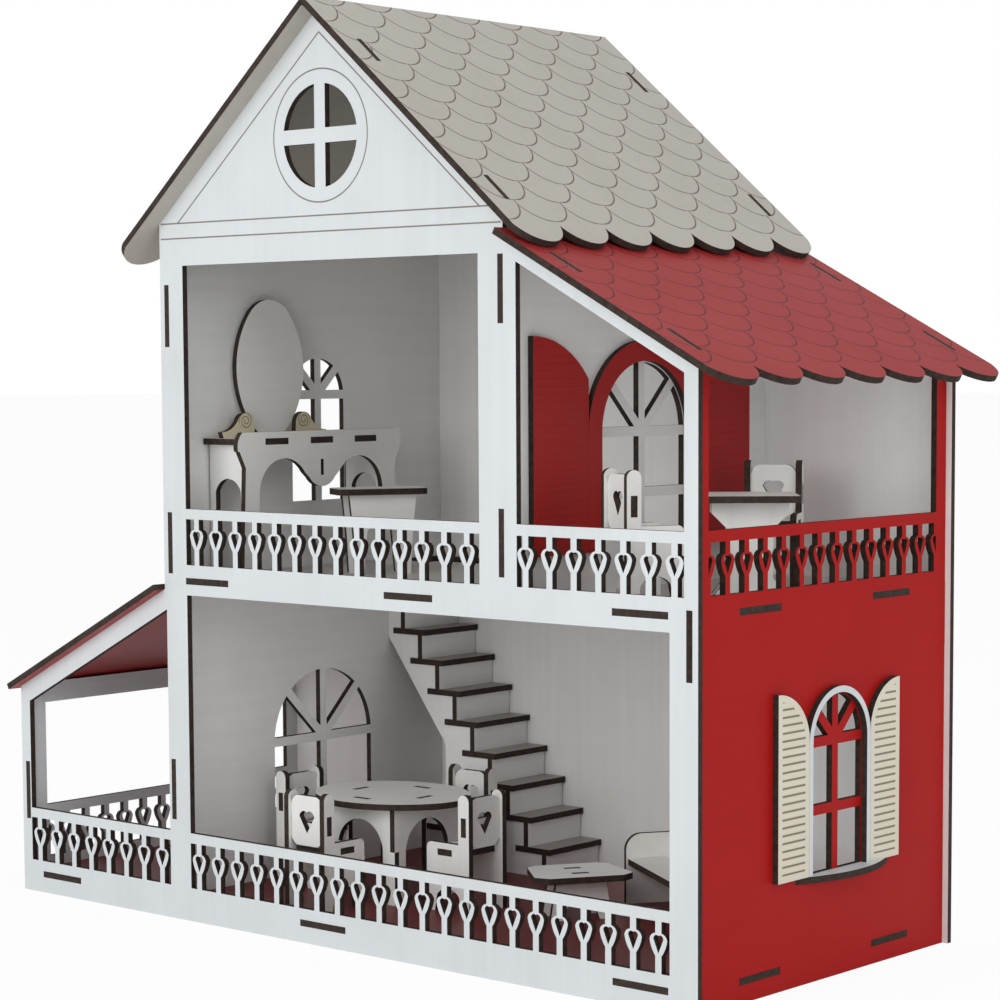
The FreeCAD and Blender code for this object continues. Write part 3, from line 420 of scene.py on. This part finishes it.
def louvres(name, spacing, border, strength):
    """Level lines across a shutter, inside a plain border that follows its curved top."""
    low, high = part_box(name)
    width = high.y - low.y
    drop = 0.019
    radius = (width * width + drop * drop) / (2 * drop)
    other = {"left": "right", "right": "left"}[name.rsplit("_", 1)[1]]
    hinge_y = low.y if other == "right" else high.y
    centre_z = high.z - radius

    def marks(bench, x, y, z):
        step = ((z - low.z) / spacing + 0.5).part() - 0.5
        line = near(step * spacing, spacing * 0.14)
        side = ((y - (low.y + high.y) / 2).size() - width / 2 + border).below(0)
        ends = (z - low.z - border).above(0)
        rise = (z - centre_z).maths("MAXIMUM", 0.0)
        away = ((y - hinge_y) * (y - hinge_y) + rise * rise).root()
        return line * side * ends * away.below(radius - border) * strength

    return marks


for side in ("left", "right"):
    name = "side_window_shutter_" + side
    dress(name, painted("Cream shutter " + side, through[name], CREAM,
                        louvres(name, 0.00340, 0.0030, 1.0)))
    name = "terrace_window_shutter_" + side
    dress(name, painted("Red shutter " + side, through[name], RED,
                        louvres(name, 0.0034, 0.0005, 0.10)))
dress("side_window_frame", painted("White window frame", through["side_window_frame"], WHITE))
dress("side_window_sill", painted("White sill", through["side_window_sill"], WHITE, seed=3))
dress("terrace_window_frame", painted("Red window frame", through["terrace_window_frame"], RED))
print("windows are dressed")

# %% [markdown]
# ## Stairs and furniture
#
# These are small pieces of the same thin board with pale paint, so their burnt edges are what
# gives them their drawn look. The stair treads are a darker grey, which is painted shade on their
# tops. Each piece gets its own seed, so no two are mottled alike.

# %% Paint the stairs and the furniture
for name in ("stair_stringer_front", "stair_stringer_back", "stair_risers"):
    # The stringers and risers take the lightened inside white, painted light.
    dress(name, painted("Paint on " + name, through[name], INSIDE_WHITE_PAINTED_LIGHT))
# The treads are grey: painted shade on their tops.
dress("stair_treads", painted("Paint on stair_treads", through["stair_treads"], TREAD_GREY_PAINTED_SHADE))
dressed = {"dressing_mirror_scrolls"}
loose = ("dining_", "coffee_", "sofa_", "dressing_", "stool_", "terrace_table_", "terrace_chair_")
for place, name in enumerate(sorted(nodes)):
    if name.startswith(loose) and name not in dressed:
        dress(name, painted("Paint on " + name, through[name], FURNITURE, seed=place * 0.3))
        dressed.add(name)
scroll_low, scroll_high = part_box("dressing_mirror_scrolls")


def volutes(bench, x, y, z):
    """A scorched spiral on each scroll, round the middle of its disc."""
    middle_y = (scroll_low.y + scroll_high.y) / 2
    side = (y - middle_y).size() - 0.020
    rise = z - (scroll_low.z + 0.0082)
    away = (side * side + rise * rise).root()
    angle = rise.maths("ARCTAN2", side) / (2 * math.pi)
    turn = (away / 0.0018 + angle).part() - 0.5
    return near(turn * 0.0018, 0.00026) * away.below(0.0046) * away.above(0.0006)


scroll = painted("Beige scroll paint", through["dressing_mirror_scrolls"], BEIGE, volutes,
                 both=True)
dress("dressing_mirror_scrolls", scroll)
print(len(dressed), "pieces of furniture board are painted")

# %% [markdown]
# ## The floor of the studio, the lamps and the camera
#
# The set is a pale floor that runs out to a white world. The camera sees the floor a little
# brighter than it is, through Light Path, so that it meets the world without a line, while the
# house still stands on its soft shadow. The lamps are large and mild so that no paint clips.

# %% A pale floor
mesh = bpy.data.meshes.new("Studio_floor")
builder = bmesh.new()
bmesh.ops.create_grid(builder, x_segments=1, y_segments=1, size=20.0)
builder.to_mesh(mesh)
builder.free()
floor = bpy.data.objects.new("Studio_floor", mesh)
bpy.context.scene.collection.objects.link(floor)
bench = Bench("Studio floor")
diffuse = bench.add("BsdfDiffuse", Color=(0.9, 0.9, 0.9, 1))
glow = bench.add("Emission", Color=(1, 1, 1, 1), Strength=1.0)
path = bench.add("LightPath", output="Is Camera Ray")
blend = bench.add("MixShader", n0=path * 0.93, n1=diffuse, n2=glow)
end = bench.tree.nodes.new("ShaderNodeOutputMaterial")
bench.tree.links.new(blend.socket, end.inputs["Surface"])
mesh.materials.append(bench.material)

# %% The world round it
world = bpy.data.worlds.new("Studio")
bpy.context.scene.world = world
world.use_nodes = True
tree = world.node_tree
tree.nodes.clear()
seen = tree.nodes.new("ShaderNodeBackground")
seen.inputs["Color"].default_value = (1, 1, 1, 1)
seen.inputs["Strength"].default_value = 1.0
felt = tree.nodes.new("ShaderNodeBackground")
felt.inputs["Color"].default_value = (0.96, 0.98, 1.0, 1)
felt.inputs["Strength"].default_value = 0.62
choose = tree.nodes.new("ShaderNodeMixShader")
ray = tree.nodes.new("ShaderNodeLightPath")
out = tree.nodes.new("ShaderNodeOutputWorld")
tree.links.new(ray.outputs["Is Camera Ray"], choose.inputs[0])
tree.links.new(felt.outputs[0], choose.inputs[1])
tree.links.new(seen.outputs[0], choose.inputs[2])
tree.links.new(choose.outputs[0], out.inputs["Surface"])

# %% The lamps


def soft_lamp(name, place, target, size, power):
    """A square lamp that looks at a point."""
    data = bpy.data.lights.new(name, "AREA")
    data.size = size
    data.energy = power
    lamp = bpy.data.objects.new(name, data)
    lamp.location = place
    lamp.rotation_euler = (Vector(target) - Vector(place)).to_track_quat("-Z", "Y").to_euler()
    bpy.context.scene.collection.objects.link(lamp)
    return lamp


soft_lamp("Key_lamp", (0.1, -1.7, 0.75), (0, 0, 0.2), 1.2, 13.0)
soft_lamp("Side_lamp", (1.6, -0.4, 0.8), (0, 0, 0.2), 1.0, 6.0)
soft_lamp("Top_lamp", (0.1, 0.2, 1.9), (0, 0, 0.2), 1.2, 4.5)

# %% The camera
camera_data = bpy.data.cameras.new("Camera")
camera = bpy.data.objects.new("Camera", camera_data)
bpy.context.scene.collection.objects.link(camera)
corner = Vector((front_high.x, front_low.y, 0.008))
yaw, tilt, roll = (math.radians(value) for value in (41.439, -4.740, -0.316))
forward = Vector((-math.sin(yaw) * math.cos(tilt), math.cos(yaw) * math.cos(tilt), math.sin(tilt)))
right = Vector((math.cos(yaw), math.sin(yaw), 0))
up = right.cross(forward)
right_rolled = right * math.cos(roll) + up * math.sin(roll)
up_rolled = up * math.cos(roll) - right * math.sin(roll)
turn = Matrix((right_rolled, up_rolled, -forward)).transposed()
camera.matrix_world = Matrix.Translation(corner + Vector((0.66055, -0.87426, 0.26190))) @ turn.to_4x4()
camera_data.sensor_width = 36.0
camera_data.lens = 96.87
camera_data.shift_x = 0.00643
camera_data.shift_y = 0.08838
bpy.context.scene.camera = camera
bpy.context.scene.view_settings.view_transform = "Standard"
print("the camera stands at", tuple(round(value, 3) for value in camera.location))
